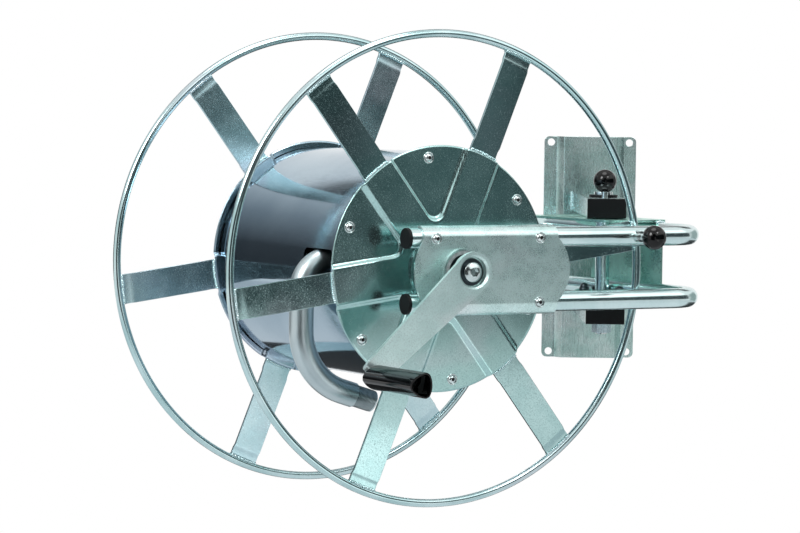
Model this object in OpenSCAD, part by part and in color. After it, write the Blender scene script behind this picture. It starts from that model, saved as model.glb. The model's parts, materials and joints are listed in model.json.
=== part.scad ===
// Wall mounted hose reel on a swivelling frame, with a hand crank.
// The origin is the middle of the four wall bolts, on the back of the wall plate.
// X runs along the wall, +Y into the wall and +Z up.

/* [Wall plate] */
// Width of the plate
plate_w = 127; // [116:1:160]
// Height of the plate
plate_h = 306; // [300:2:360]
// Sheet thickness of the plate
plate_t = 4; // [3:0.5:5]
// Radius of its corners
plate_corner = 7; // [3:1:12]
// How far the web stands in front of the flanges
web_rise = 12; // [8:1:18]
// Width of the flat front of the web
web_w = 73; // [60:1:80]
// Sideways run of each slanted side of the web
web_slope = 9.5; // [6:0.5:12]
// Distance from the bolt holes to the side edges
bolt_edge_x = 9.5; // [8:0.5:13]
// Distance from the bolt holes to the top and bottom edges
bolt_edge_z = 8; // [7:1:30]
// Diameter of the bolt holes
bolt_hole_d = 10; // [6:0.5:12]

/* [Arms and pivot] */
// Distance from the wall to the pivot
pivot_out = 266; // [250:1:320]
// Distance from the pivot to the front of the arm caps
arm_nose = 67; // [50:1:90]
// Width of the arms
arm_w = 50; // [40:1:60]
// Height of the arms
arm_h = 25; // [20:1:40]
// Wall of the arms
arm_wall = 3; // [2:0.5:4]
// Thickness of the arm caps
cap_t = 4; // [2:0.5:6]
// Height of the wall plate's middle above the axle
axis_drop = 4; // [0:1:20]
// Diameter of the pivot bolt
pivot_d = 14; // [10:0.5:14]
// Outer diameter of the pivot tube
pivot_tube_d = 18.4; // [17:0.2:24]
// Diameter of both lock pins
pin_d = 8; // [6:0.5:9]
// Diameter of both ball knobs
knob_d = 30; // [24:1:32]
// Distance from the pivot to the swivel lock pin
lock_r = 24; // [23:0.5:27]
// Travel of the swivel lock pin
lock_travel = 4; // [3.7:0.1:4.2]

/* [Swing] */
// Angle of the frame from the wall, as drawn
swing_rest = 29; // [5:1:85]
// Smallest angle of the frame from the wall
swing_min = 0; // [0:1:4]
// Largest angle of the frame from the wall
swing_max = 150; // [120:1:150]

/* [Swivel frame] */
// Distance from the pivot to the drum axis
drum_offset = 337; // [330:1:400]
// Diameter of the frame tubes
tube_d = 25; // [20:0.5:28]
// Wall of the frame tubes
tube_wall = 2; // [1.5:0.25:3]
// Distance between the upper and the lower tube, centre to centre
tube_gap = 78.5; // [74:0.5:90]
// Distance from the middle of the reel to each leg of the tubes
leg_v = 196; // [192:1:220]
// Distance from the pivot back to the cross run of the tubes
base_u = 22; // [22:1:40]
// Centreline radius of the tube bends
tube_bend_r = 45; // [35:1:60]
// Length of the legs past the drum axis
leg_end = 67.5; // [64:0.5:90]
// Thickness of the black plug heads in the tube ends
plug_t = 4; // [2:0.5:6]
// Sheet thickness of the swivel bracket
bracket_t = 3; // [2:0.5:4]
// Reach of the bracket in front of the pivot's cross line
bracket_front = 99; // [80:1:110]
// Reach of the bracket behind that line
bracket_rear = 94; // [80:1:110]
// Reach of the bracket's flanges past the pivot, towards the drum
bracket_reach = 60; // [40:1:70]
// Corner radius of the flanges
bracket_corner = 15; // [5:1:30]

/* [Bearing plates] */
// Sheet thickness of the oval bearing plates
oval_t = 2.5; // [2:0.25:4]
// Radius of the round end around the axle
oval_end_r = 66; // [60:1:72]
// Distance from the axle to the far round end's centre
oval_far_x = 99; // [90:1:110]
// Radius of the far round end
oval_far_r = 53; // [48:1:60]
// Reach of the saddles on the axle side
saddle_near = 53; // [46:0.5:56]
// Reach of the saddles on the far side
saddle_far = 135; // [124:1:150]
// Distance from the axle to the near plate screws
screw_near = 36.5; // [30:0.5:40]
// Distance from the axle to the far plate screws
screw_far = 109; // [100:1:115]
// Outer diameter of the bearings
bearing_d = 50; // [46:1:54]
// Diameter of the axle
axle_d = 40; // [36:1:42]

/* [Wheels] */
// Centreline radius of the rod rings
ring_r = 285; // [275:1:290]
// Diameter of the ring rod
rod_d = 10; // [8:0.5:12]
// Distance from the middle of the reel to each wheel
wheel_v = 158; // [150:1:162]
// Width of a spoke
spoke_w = 37.5; // [30:0.5:38]
// Thickness of a spoke
spoke_t = 4; // [3:0.5:5]
// Depth of the step near both ends of a spoke
joggle = 2; // [1:0.25:2.5]
// Angle of the first spoke
spoke_phase = 7.8; // [5:0.1:11]
// Distance from the inside of the ring to the drum lock pin
drum_pin_inset = 27; // [24:1:40]
// Travel of the drum lock pin
drum_pin_travel = 10; // [9:0.5:11]
// How far the pressed discs stand out past the drum
disc_rim = 8; // [5:0.5:13]
// Sheet thickness of the discs
disc_t = 2; // [1.5:0.25:2.5]
// Half width of a rib at its crest
rib_half = 22; // [21:0.5:24]
// Corner radius of a land's tip, on the flat of the land
land_tip_r = 11; // [8:0.5:14]
// Distance from the outside of the drum in to the land screws
land_screw_inset = 6; // [5:0.5:10]

/* [Drum] */
// Outer diameter of the drum sheet
drum_d = 284; // [282:1:290]
// Thickness of the drum sheet
drum_t = 1.5; // [1:0.25:2.5]
// Lower edge of the pipe slot, below the axle
slot_low = 19; // [18:0.5:24]
// Upper edge of the pipe slot, above the axle
slot_high = 24; // [23:0.5:28]
// Near edge of the pipe slot, from the middle of the reel
slot_near = 70; // [60:1:80]
// Far edge of the pipe slot, from the middle of the reel
slot_far = 142; // [124:1:145]
// Corner radius of the slot
slot_corner = 8; // [3:1:12]

/* [Water pipe] */
// Outer diameter of the outlet pipe
pipe_d = 30; // [26:0.5:32]
// Bore of the outlet pipe
pipe_bore = 21; // [16:0.5:22]
// Diameter over the outlet thread
thread_d = 26.4; // [25:0.1:26.9]
// Length of the outlet thread
thread_l = 28; // [20:1:32]
// Distance from the middle of the reel to the pipe
pipe_v = 100; // [96:1:105]
// Centreline radius of the bend at the slot
pipe_bend_1 = 38; // [36:0.5:40]
// Centreline radius of the bend below the drum
pipe_bend_2 = 80; // [76:1:88]
// Distance from the axle to the straight run beside the drum
pipe_run_x = 159; // [158:0.5:166]
// Height of the first bend's centre below the axle
pipe_bend_1_drop = 27.5; // [26:0.5:29]
// Height of the second bend's centre below the axle
pipe_bend_2_drop = 74; // [66:1:84]
// Angle of the outlet end below level
outlet_dip = 17.7; // [10:0.1:25]
// Length of the outlet end past the bend
outlet_l = 45; // [36:1:60]

/* [Crank] */
// Distance from the axle to the grip
crank_l = 184.5; // [150:0.5:200]
// Angle of the crank
crank_angle = 221; // [200:1:240]
// Thickness of the crank arm
crank_t = 5; // [4:0.5:6]
// Radius of the crank's hub end
crank_hub_r = 24.5; // [24:0.5:28]
// Radius that the arm narrows to
crank_tip_r = 15.5; // [13:0.5:18]
// Distance from the middle of the reel to the back of the crank arm
crank_v = 234; // [232:0.5:240]
// Inner radius of the bend at the arm's end
crank_bend_r = 4; // [3:0.5:6]
// Length of the grip
grip_l = 113.5; // [100:0.5:130]
// Largest radius of the grip
grip_r = 16; // [15:0.25:18]
// Distance from the grip's axis to the middle of a side
grip_side = 13.3; // [12.5:0.1:14]

/* [Hidden] */
$fn = 96;
// Gap between pieces that are fastened together
seat = 0.1;
// Radial running clearance of pins and shafts
run_gap = 0.1;
// Axial gap between the swivel bracket and the arms
thrust_gap = 0.95;
big = 1000;

tube_r = tube_d / 2;
tube_z = tube_gap / 2;
pin_r = pin_d / 2;
knob_r = knob_d / 2;
axle_r = axle_d / 2;
bearing_r = bearing_d / 2;
pipe_r = pipe_d / 2;
drum_r = drum_d / 2;
disc_r = drum_r + disc_rim;
land_screw_r = drum_r - land_screw_inset;

// Plate
plate_front = -plate_t;
web_front = -plate_t - web_rise;
bolt_gap_x = plate_w - 2 * bolt_edge_x;
bolt_gap_z = plate_h - 2 * bolt_edge_z;

// Heights of the bracket and the arms, from the axle
flange_in = tube_z + tube_r + seat;
flange_out = flange_in + bracket_t;
arm_in = flange_out + thrust_gap;
arm_out = arm_in + arm_h;
arm_front = -pivot_out - arm_nose;

// Swivel bracket
web_u = base_u + tube_r + seat;

// Studs in the lower flange
stud_r = 4;
stud_v = 42;
stud_top = 41.5;
stud_nut_w = 13;
stud_nut_h = 6.5;

// Swivel lock
guide_r = 7;
guide_in = 6;
index_hole_r = pin_r + 0.5;
index_steps = 4;
index_step = (swing_max - swing_rest) / index_steps;
index_angles = concat([swing_min], [for (i = [0:index_steps]) swing_rest + i * index_step]);
lock_tip_z = flange_out + 0.3;
knob_lift = lock_travel + 2.8;
cover_ring_h = 3.2;
cover_ring_r = 18.5;
pivot_head_r = 12;
pivot_head_h = 4;
pivot_socket_r = 5;
pivot_nut_af = 22;
pivot_nut_h = 13;
pivot_washer_t = 2;
pivot_end = 4;
washer_rim = 4;
cap_tongue = 12;
knob_hole = 6;
lock_knob_z = arm_out + knob_lift + knob_r;

// Frame tubes
base_x = drum_offset + base_u;
plug_depth = 10;

// Drum lock
guide_out = 8;
knob_gap = 2.5;
drum_knob_v = leg_v + tube_r + guide_out + drum_pin_travel + knob_gap + knob_r;

// Bearing plates
saddle_in = tube_r + seat;
saddle_out = saddle_in + oval_t;
plate_v = leg_v + saddle_out;
collar_t = 2.5;
collar_rise = 3.5;
collar_depth = 10;
bearing_lip = 0.5;

// Wheels: levels measured from the wheel's plane towards the viewer
spoke_n = 6;
spoke_step = 360 / spoke_n;
spoke_back = -spoke_t / 2;
spoke_front = spoke_t / 2;
land_front = spoke_back + disc_t;
rib_front = spoke_front + disc_t;
land_slope = rib_front - land_front;
land_centre = (rib_half + land_slope + land_tip_r) / sin(spoke_step / 2);
spoke_root_r = 60;
hub_hollow_r = land_centre - land_tip_r - land_slope - disc_t;
ring_in = ring_r - rod_d / 2;
drum_pin_x = ring_in - drum_pin_inset;
joggle_run = 5;
joggle_edge = 10;
lock_hole_r = pin_r + 0.5;
drum_pin_tip = wheel_v + spoke_front + joggle + 2;

// Land screws and drum lugs
screw_r = 3;
screw_head_r = 5.5;
screw_head_h = 3.3;
screw_dome_r = 6.2;
screw_dome_drop = 2.9;
socket_r = 2.3;
socket_depth = 2;
land_shank = 8;
plate_shank = oval_t + tube_wall + 6;
lug_t = 3;
lug_w = 18;
lug_l = 28;

// Drum
drum_in = drum_r - drum_t;
drum_front = wheel_v + spoke_back;
drum_rear = -wheel_v + rib_front;

// Hubs
hub_flange_r = 45;
hub_flange_t = 4;
hub_tube_gap = 0.5;
hub_barrel_r = tube_z - tube_r - hub_tube_gap;
hub_end = plate_v - oval_t - collar_depth - 0.5;

// Water pipe: a level lead out of the axle's boss, then the bend at the slot
bend_1 = [-(pipe_run_x - pipe_bend_1), -pipe_bend_1_drop];
bend_2 = [-(pipe_run_x - pipe_bend_2), -pipe_bend_2_drop];
lead_y = pipe_bend_1 - pipe_bend_1_drop;
outlet_turn = 90 - outlet_dip;
// Step where the threaded end begins
swage = 0.15;

// Axle and rotary inlet
axle_bore_r = 12.5;
boss_r = lead_y + pipe_r + 4;
boss_half = pipe_r + 4;
axle_front = plate_v + collar_rise + 0.5;
axle_rear = -axle_front;
bore_end = pipe_v + pipe_r + 3;
stub_r = 15;
square_w = 18;
crank_bolt_r = 6;
journal_r = 14;
journal_end = axle_rear - 16;
shoulder_r = 16;
shoulder_t = 3;
shoulder_back = axle_rear - 4;
inlet_bore_r = 8.5;
groove_start = journal_end + 3;
groove_w = 3;
groove_depth = 1.6;
inlet_wall = 4;
sleeve_start = shoulder_back - shoulder_t - 0.3;
inlet_nut_grip = 6;
branch_r = 12;
branch_v = sleeve_start - inlet_nut_grip - 0.4 - branch_r;
branch_l = 46;
inlet_thread_r = 13.2;
inlet_thread_l = 20;
inlet_nut_r = 22;

// Crank
cup_floor = 4;
cup_back = crank_v - 8;
cup_r = 22;
recess_r = 18;
rim_depth = 2.5;
crank_front = crank_v + crank_t;
bend_out = crank_bend_r + crank_t;
// Straight part of the bend, inside the arm
bend_lap = 1;
bend_x = crank_l + crank_t / 2 - bend_out;
crank_bolt_l = 26;
crank_head_r = 12;
crank_head_h = 8;
crank_dome_r = 18.4;
crank_socket_r = 5.8;
crank_washer_t = 2;
tang_w = 14;
bend_end = crank_front + crank_bend_r;
grip_start = bend_end + 3.5;
grip_end = grip_start + grip_l;
grip_wall = 2.5;
grip_arc_r = 26;
grip_mouth = 44;
tang_end = grip_end - grip_mouth + 8;

// Places children at the height of the axle, still along the wall
module at_arms() {
    translate([0, 0, -axis_drop]) children();
}

// Places children on the pivot, turned with the swivel frame
module at_pivot() {
    translate([0, -pivot_out, -axis_drop]) rotate([0, 0, swing_rest]) children();
}

// Places children on the axle: X along the legs, Y up and Z towards the viewer
module at_axle() {
    at_pivot() translate([-drum_offset, 0, 0]) rotate([90, 0, 0]) children();
}

// Cylinder between two heights
module rod(r, z0, z1) {
    translate([0, 0, z0]) cylinder(r = r, h = z1 - z0);
}

// Rectangle with round corners, from its lower left corner
module round_rect(w, h, r) {
    translate([r, 0]) square([w - 2 * r, h]);
    translate([0, r]) square([w, h - 2 * r]);
    for (x = [r, w - r], y = [r, h - r]) translate([x, y]) circle(r = r);
}

// Copies children around Z
module around(n, start = 0) {
    for (i = [0:n - 1]) rotate([0, 0, start + i * 360 / n]) children();
}

// Socket-head button screw, its seat at z = 0 and its shank below
module button_screw(shank) {
    difference() {
        union() {
            intersection() {
                translate([0, 0, -screw_dome_drop]) sphere(r = screw_dome_r);
                cylinder(r = screw_head_r, h = screw_head_h);
            }
            rod(screw_r, -shank, 0);
        }
        translate([0, 0, screw_head_h - socket_depth])
            cylinder(r = socket_r, h = socket_depth + 1, $fn = 6);
    }
}

// Hexagonal nut across flats, with a round hole
module hex_nut(across, h, hole_r) {
    difference() {
        cylinder(d = across / cos(30), h = h, $fn = 6);
        rod(hole_r, -1, h + 1);
    }
}

// Wall plate: pressed hat section with round corners
module hat_section() {
    half = web_w / 2;
    foot = half + web_slope;
    polygon([
        [-plate_w / 2, 0], [-plate_w / 2, plate_front], [-foot, plate_front], [-half, web_front],
        [half, web_front], [foot, plate_front], [plate_w / 2, plate_front], [plate_w / 2, 0],
        [foot - 1, 0], [half - 1, web_front + plate_t],
        [1 - half, web_front + plate_t], [1 - foot, 0]
    ]);
}

module wall_plate() {
    color("lightsteelblue") difference() {
        intersection() {
            translate([0, 0, -plate_h / 2]) linear_extrude(plate_h) hat_section();
            translate([-plate_w / 2, 1, -plate_h / 2]) rotate([90, 0, 0])
                linear_extrude(web_rise + plate_t + 2) round_rect(plate_w, plate_h, plate_corner);
        }
        for (x = [-1, 1], z = [-1, 1])
            translate([x * bolt_gap_x / 2, 1, z * bolt_gap_z / 2]) rotate([90, 0, 0])
                cylinder(d = bolt_hole_d, h = plate_t + 2);
    }
}

// Arms: rectangular tubes from the web to the caps
module arm_body(z0) {
    back = web_front - seat;
    front = arm_front + cap_t;
    difference() {
        translate([-arm_w / 2, front, z0]) cube([arm_w, back - front, arm_h]);
        translate([-arm_w / 2 + arm_wall, front - 1, z0 + arm_wall])
            cube([arm_w - 2 * arm_wall, back - front + 2, arm_h - 2 * arm_wall]);
        translate([0, -pivot_out, z0 - 1]) cylinder(r = pivot_d / 2 + seat, h = arm_h + 2);
    }
}

module upper_arm() {
    color("lightgray") at_arms() difference() {
        arm_body(arm_in);
        translate([0, -pivot_out - lock_r, arm_in - 1]) {
            cylinder(r = pin_r + run_gap, h = arm_wall + 2);
            translate([0, 0, arm_wall + 1]) cylinder(r = guide_r + seat, h = arm_h);
        }
    }
}

module lower_arm() {
    color("lightgray") at_arms() arm_body(-arm_out);
}

module arm_caps() {
    inner_w = arm_w - 2 * arm_wall - 2 * seat;
    inner_h = arm_h - 2 * arm_wall - 2 * seat;
    color("#1c1d1f") at_arms() for (z0 = [arm_in, -arm_out]) {
        translate([-arm_w / 2, arm_front, z0]) cube([arm_w, cap_t, arm_h]);
        translate([-inner_w / 2, arm_front + cap_t, z0 + arm_wall + seat])
            cube([inner_w, cap_tongue, inner_h]);
    }
}

// Pivot: a long bolt through both arms, with its nut below
module pivot_bolt() {
    color("silver") at_arms() translate([0, -pivot_out, 0]) {
        rod(pivot_d / 2, -arm_out - pivot_nut_h - pivot_end, arm_out + cover_ring_h);
        difference() {
            rod(pivot_head_r, arm_out + cover_ring_h, arm_out + cover_ring_h + pivot_head_h);
            translate([0, 0, arm_out + cover_ring_h + 1])
                cylinder(r = pivot_socket_r, h = pivot_head_h, $fn = 6);
        }
    }
}

module pivot_nut() {
    color("silver") at_arms() translate([0, -pivot_out, -arm_out - pivot_washer_t - pivot_nut_h])
        hex_nut(pivot_nut_af, pivot_nut_h, pivot_d / 2 + seat / 2);
}

module pivot_washer() {
    color("silver") at_arms() translate([0, -pivot_out, -arm_out - pivot_washer_t]) difference() {
        cylinder(r = pivot_d, h = pivot_washer_t);
        rod(pivot_d / 2 + seat, -1, pivot_washer_t + 1);
    }
}

module pivot_cover_ring() {
    color("#1c1d1f") at_arms() translate([0, -pivot_out, arm_out]) difference() {
        cylinder(r = cover_ring_r, h = cover_ring_h);
        rod(pivot_d / 2 + seat, -1, cover_ring_h + 1);
    }
}

// Guide bush of the swivel lock pin, inside the upper arm
module lock_pin_guide() {
    color("silver") at_arms() translate([0, -pivot_out - lock_r, 0]) difference() {
        rod(guide_r, arm_in + arm_wall + guide_in, arm_out);
        rod(pin_r + run_gap, arm_in, arm_out + 2);
    }
}

// Path of a frame tube: two legs, two bends and the cross run
module tube_path(r, extra = 0) {
    bend_x = base_x - tube_bend_r;
    bend_v = leg_v - tube_bend_r;
    for (side = [0, 1]) mirror([0, 0, side]) {
        translate([-leg_end - extra, 0, leg_v]) rotate([0, 90, 0])
            cylinder(r = r, h = bend_x + leg_end + extra);
        translate([bend_x, 0, bend_v]) rotate([90, 0, 0]) rotate_extrude(angle = 90)
            translate([tube_bend_r, 0]) circle(r = r);
    }
    translate([base_x, 0, 0]) rod(r, -bend_v, bend_v);
}

module frame_tube(side) {
    translate([0, side * tube_z, 0]) difference() {
        tube_path(tube_r);
        tube_path(tube_r - tube_wall, 1);
        for (x = [-screw_near, screw_far], v = [-1, 1])
            translate([x, 0, v * leg_v]) rod(screw_r + seat / 2, min(0, v * big), max(0, v * big));
    }
}

module upper_tube() {
    color("lightgray") at_axle() difference() {
        frame_tube(1);
        translate([drum_pin_x, tube_z, 0]) rod(guide_r + seat, leg_v - tube_d, leg_v + tube_d);
    }
}

module lower_tube() {
    color("lightgray") at_axle() frame_tube(-1);
}

module tube_plugs() {
    color("#1c1d1f") at_axle() for (y = [-1, 1], v = [-1, 1])
        translate([-leg_end, y * tube_z, v * leg_v]) rotate([0, -90, 0]) {
            cylinder(r = tube_r, h = plug_t);
            rod(tube_r - tube_wall - seat, -plug_depth, 0);
        }
}

// Swivel bracket: a channel whose web stands behind the tubes' cross runs
module flange_outline() {
    translate([-bracket_reach, -bracket_front])
        round_rect(bracket_reach + web_u + bracket_t, bracket_front + bracket_rear, bracket_corner);
    translate([0, -bracket_front + bracket_corner])
        square([web_u + bracket_t, bracket_front + bracket_rear - 2 * bracket_corner]);
}

module swivel_bracket() {
    color("mediumaquamarine") at_pivot() difference() {
        union() {
            for (z = [flange_in, -flange_out])
                translate([0, 0, z]) linear_extrude(bracket_t) flange_outline();
            translate([web_u, -bracket_front + bracket_corner, -flange_in])
                cube([bracket_t, bracket_front + bracket_rear - 2 * bracket_corner, 2 * flange_in]);
        }
        rod(pivot_d / 2 + run_gap, -flange_out - 1, flange_out + 1);
        for (angle = index_angles)
            translate([-lock_r * sin(angle), -lock_r * cos(angle), flange_in - 1])
                cylinder(r = index_hole_r, h = bracket_t + 2);
        for (side = [-1, 1]) translate([0, side * stud_v, 0])
            rod(stud_r + seat / 2, -flange_out - 1, -flange_in + 1);
    }
}

module pivot_tube() {
    color("lightgray") at_pivot() difference() {
        rod(pivot_tube_d / 2, -flange_in + seat / 2, flange_in - seat / 2);
        rod(pivot_d / 2 + run_gap, -flange_out, flange_out);
    }
}

module thrust_washers() {
    color("#d8d4c4") at_pivot() for (side = [0, 1]) mirror([0, 0, side]) difference() {
        rod(pivot_tube_d / 2 + washer_rim, flange_out + seat / 2, arm_in - 0.3);
        rod(pivot_d / 2 + run_gap, 0, arm_out);
    }
}

// Two studs in the lower flange, before and behind the pivot tube
module flange_screws() {
    color("silver") at_pivot() for (side = [-1, 1]) translate([0, side * stud_v, 0])
        rod(stud_r, -flange_out - 4 * seat, -stud_top);
}

module flange_nuts() {
    color("silver") at_pivot() for (side = [-1, 1]) translate([0, side * stud_v, -flange_in + 0.02])
        hex_nut(stud_nut_w, stud_nut_h, stud_r + seat / 2);
}

// Oval bearing plate with half-round saddles over both tubes
module oval_outline() {
    translate([-saddle_near, -tube_z - saddle_out - 1])
        square([saddle_near + saddle_far, 2 * (tube_z + saddle_out + 1)]);
    intersection() {
        union() {
            circle(r = oval_end_r);
            translate([oval_far_x, 0]) circle(r = oval_far_r);
        }
        translate([-big, -tube_z]) square([2 * big, 2 * tube_z]);
    }
}

module oval_section() {
    translate([-big / 2, -tube_z, leg_v + saddle_in]) cube([big, 2 * tube_z, oval_t]);
    for (side = [0, 1]) mirror([0, side, 0]) translate([-big / 2, tube_z, leg_v]) difference() {
        rotate([0, 90, 0]) cylinder(r = saddle_out, h = big);
        translate([-1, 0, 0]) rotate([0, 90, 0]) cylinder(r = saddle_in, h = big + 2);
        translate([-1, -big, -big / 2]) cube([big + 2, big, big]);
        translate([-1, -1, -big - 3]) cube([big + 2, big, big]);
    }
}

module oval_plate() {
    difference() {
        union() {
            intersection() {
                oval_section();
                linear_extrude(plate_v + 1) oval_outline();
            }
            rod(bearing_r + collar_t, plate_v - oval_t - collar_depth, plate_v + collar_rise);
        }
        rod(bearing_r + seat, 0, big);
        for (x = [-screw_near, screw_far], y = [-1, 1])
            translate([x, y * tube_z, 0]) rod(screw_r + seat, 0, big);
    }
}

module front_bearing_plate() {
    color("#9fb5b0") at_axle() oval_plate();
}

module rear_bearing_plate() {
    color("#9fb5b0") at_axle() mirror([0, 0, 1]) oval_plate();
}

module bearing() {
    difference() {
        rod(bearing_r, plate_v - oval_t - collar_depth, plate_v + collar_rise - bearing_lip);
        rod(axle_r + 0.08, 0, big);
    }
}

module front_bearing() {
    color("#d8d4c4") at_axle() bearing();
}

module rear_bearing() {
    color("#d8d4c4") at_axle() mirror([0, 0, 1]) bearing();
}

module plate_screws() {
    for (x = [-screw_near, screw_far], y = [-1, 1])
        translate([x, y * tube_z, plate_v]) button_screw(plate_shank);
}

module front_plate_screws() {
    color("silver") at_axle() plate_screws();
}

module rear_plate_screws() {
    color("silver") at_axle() mirror([0, 0, 1]) plate_screws();
}

// Guide bush of the drum lock pin, through the front leg of the upper tube
module drum_pin_guide() {
    color("silver") at_axle() translate([drum_pin_x, tube_z, 0]) difference() {
        rod(guide_r, leg_v - tube_r - 2, leg_v + tube_r + guide_out);
        rod(pin_r + run_gap, 0, big);
    }
}

// Wheel parts, drawn on the wheel's own plane
module ring() {
    rotate_extrude() translate([ring_r, 0]) circle(d = rod_d);
}

// Side view of a spoke: it steps forward between its two ends
module spoke_profile() {
    step_in = disc_r + joggle_edge;
    step_out = ring_in - joggle_edge;
    polygon([
        [spoke_root_r, spoke_back], [step_in, spoke_back], [step_in + joggle_run, spoke_back + joggle],
        [step_out - joggle_run, spoke_back + joggle], [step_out, spoke_back], [ring_r, spoke_back],
        [ring_r, spoke_front], [step_out, spoke_front], [step_out - joggle_run, spoke_front + joggle],
        [step_in + joggle_run, spoke_front + joggle], [step_in, spoke_front], [spoke_root_r, spoke_front]
    ]);
}

module spokes() {
    intersection() {
        around(spoke_n, spoke_phase)
            translate([0, spoke_w / 2, 0]) rotate([90, 0, 0]) linear_extrude(spoke_w) spoke_profile();
        rod(ring_in - seat, -big, big);
    }
}

// Pressed disc: the ribs and the hub stand forward of the six lands
module land_pocket() {
    reach = disc_r;
    top = rib_front + 1;
    hull() for (place = [[0, 0], [reach * cos(spoke_step / 2), reach * sin(spoke_step / 2)],
                         [reach * cos(spoke_step / 2), -reach * sin(spoke_step / 2)]])
        translate([land_centre + place[0], place[1], land_front])
            cylinder(r1 = land_tip_r, r2 = land_tip_r + top - land_front, h = top - land_front, $fn = 32);
}

module pressed_disc() {
    difference() {
        rod(disc_r, spoke_back, rib_front);
        around(spoke_n, spoke_phase + spoke_step / 2) land_pocket();
        around(spoke_n, spoke_phase)
            translate([0, -rib_half, spoke_back - 1]) cube([disc_r + 1, 2 * rib_half, spoke_t + 1]);
        rod(hub_hollow_r, spoke_back - 1, spoke_front);
        rod(axle_r + seat, -big, big);
        around(spoke_n, spoke_phase + spoke_step / 2)
            translate([land_screw_r, 0, 0]) rod(screw_r + 2 * seat, -10, 10);
    }
}

module front_ring() {
    color("lightgray") at_axle() translate([0, 0, wheel_v]) ring();
}

module rear_ring() {
    color("lightgray") at_axle() translate([0, 0, -wheel_v]) ring();
}

module front_spokes() {
    color("cadetblue") at_axle() translate([0, 0, wheel_v]) difference() {
        spokes();
        translate([drum_pin_x, tube_z, 0]) rod(lock_hole_r, -spoke_w, spoke_w);
    }
}

module rear_spokes() {
    color("cadetblue") at_axle() translate([0, 0, -wheel_v]) spokes();
}

module front_disc() {
    color("#7f9c99") at_axle() translate([0, 0, wheel_v]) pressed_disc();
}

module rear_disc() {
    color("#7f9c99") at_axle() translate([0, 0, -wheel_v]) pressed_disc();
}

// Drum sheet with the slot for the outlet pipe
module drum_sheet() {
    color("#8fa3b8") at_axle() difference() {
        rod(drum_r, drum_rear, drum_front);
        rod(drum_in, -big, big);
        translate([0, -slot_low, slot_near]) rotate([0, -90, 0])
            linear_extrude(big) round_rect(slot_far - slot_near, slot_low + slot_high, slot_corner);
    }
}

// Angle lugs inside the drum, one behind each land screw
module lug(foot, length) {
    outer = sqrt(drum_in * drum_in - lug_w * lug_w / 4) - seat;
    foot_w = outer - land_screw_r + screw_r + lug_t;
    difference() {
        union() {
            translate([outer - foot_w, -lug_w / 2, foot - lug_t]) cube([foot_w, lug_w, lug_t]);
            translate([outer - lug_t, -lug_w / 2, foot - length]) cube([lug_t, lug_w, length]);
        }
        translate([land_screw_r, 0, 0]) rod(screw_r + seat / 2, foot - 12, foot + 1);
    }
}

module drum_lugs() {
    color("lightgray") at_axle() around(spoke_n, spoke_phase + spoke_step / 2) {
        lug(wheel_v + spoke_back - seat / 2, lug_l);
        mirror([0, 0, 1]) lug(wheel_v - land_front - seat / 2, lug_l);
    }
}

module front_land_screws() {
    color("silver") at_axle() around(spoke_n, spoke_phase + spoke_step / 2)
        translate([land_screw_r, 0, wheel_v + land_front]) button_screw(land_shank);
}

module rear_land_screws() {
    color("silver") at_axle() mirror([0, 0, 1]) around(spoke_n, spoke_phase + spoke_step / 2)
        translate([land_screw_r, 0, wheel_v - spoke_back]) button_screw(land_shank);
}

// Hollow axle with the crank's square at the front and the inlet journal at the rear
module axle() {
    color("#b9c2c6") at_axle() difference() {
        union() {
            rod(axle_r, axle_rear, axle_front);
            rod(boss_r, pipe_v - boss_half, pipe_v + boss_half);
            rod(stub_r, axle_front, cup_back);
            translate([-square_w / 2, -square_w / 2, cup_back])
                cube([square_w, square_w, cup_floor - 0.3]);
            rod(journal_r, journal_end, axle_rear);
            rod(shoulder_r, shoulder_back - shoulder_t, shoulder_back);
        }
        rod(axle_bore_r, axle_rear + 10, bore_end);
        rod(inlet_bore_r, journal_end - 1, axle_rear + 11);
        translate([0, lead_y, pipe_v]) rotate([0, -90, 0]) cylinder(d = pipe_bore, h = boss_r + 1);
        rod(crank_bolt_r + seat / 2, cup_back - crank_bolt_l, big);
        difference() {
            rod(journal_r + 1, groove_start, groove_start + groove_w);
            rod(journal_r - groove_depth, -big, big);
        }
    }
}

// Hubs: a flange on the disc and a barrel that runs up to the bearing
module front_hub() {
    color("lightgray") at_axle() difference() {
        union() {
            rod(hub_flange_r, wheel_v + rib_front, wheel_v + rib_front + hub_flange_t);
            rod(hub_barrel_r, wheel_v + rib_front, hub_end);
        }
        rod(axle_r + seat / 2, 0, big);
    }
}

module rear_hub() {
    color("lightgray") at_axle() mirror([0, 0, 1]) difference() {
        union() {
            rod(hub_flange_r, wheel_v - spoke_front, wheel_v - spoke_front + hub_flange_t);
            rod(hub_barrel_r, wheel_v - spoke_front, hub_end);
        }
        rod(axle_r + seat / 2, 0, big);
    }
}

// Path of the outlet pipe: lead, slot bend, straight run, lower bend and end
module pipe_path(r, inward = 0, outward = 0) {
    run_l = pipe_bend_2_drop - pipe_bend_1_drop;
    translate([bend_1[0], lead_y, 0]) rotate([0, 90, 0]) cylinder(r = r, h = -bend_1[0] + inward);
    translate(bend_1) rotate([0, 0, 90])
        rotate_extrude(angle = 90) translate([pipe_bend_1, 0]) circle(r = r);
    translate([-pipe_run_x, -pipe_bend_2_drop, 0]) rotate([-90, 0, 0]) cylinder(r = r, h = run_l);
    translate(bend_2) rotate([0, 0, 180]) {
        rotate_extrude(angle = outlet_turn) translate([pipe_bend_2, 0]) circle(r = r);
        rotate([0, 0, outlet_turn]) translate([pipe_bend_2, 0, 0]) rotate([-90, 0, 0])
            cylinder(r = r + swage, h = outlet_l + outward);
    }
}

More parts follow.
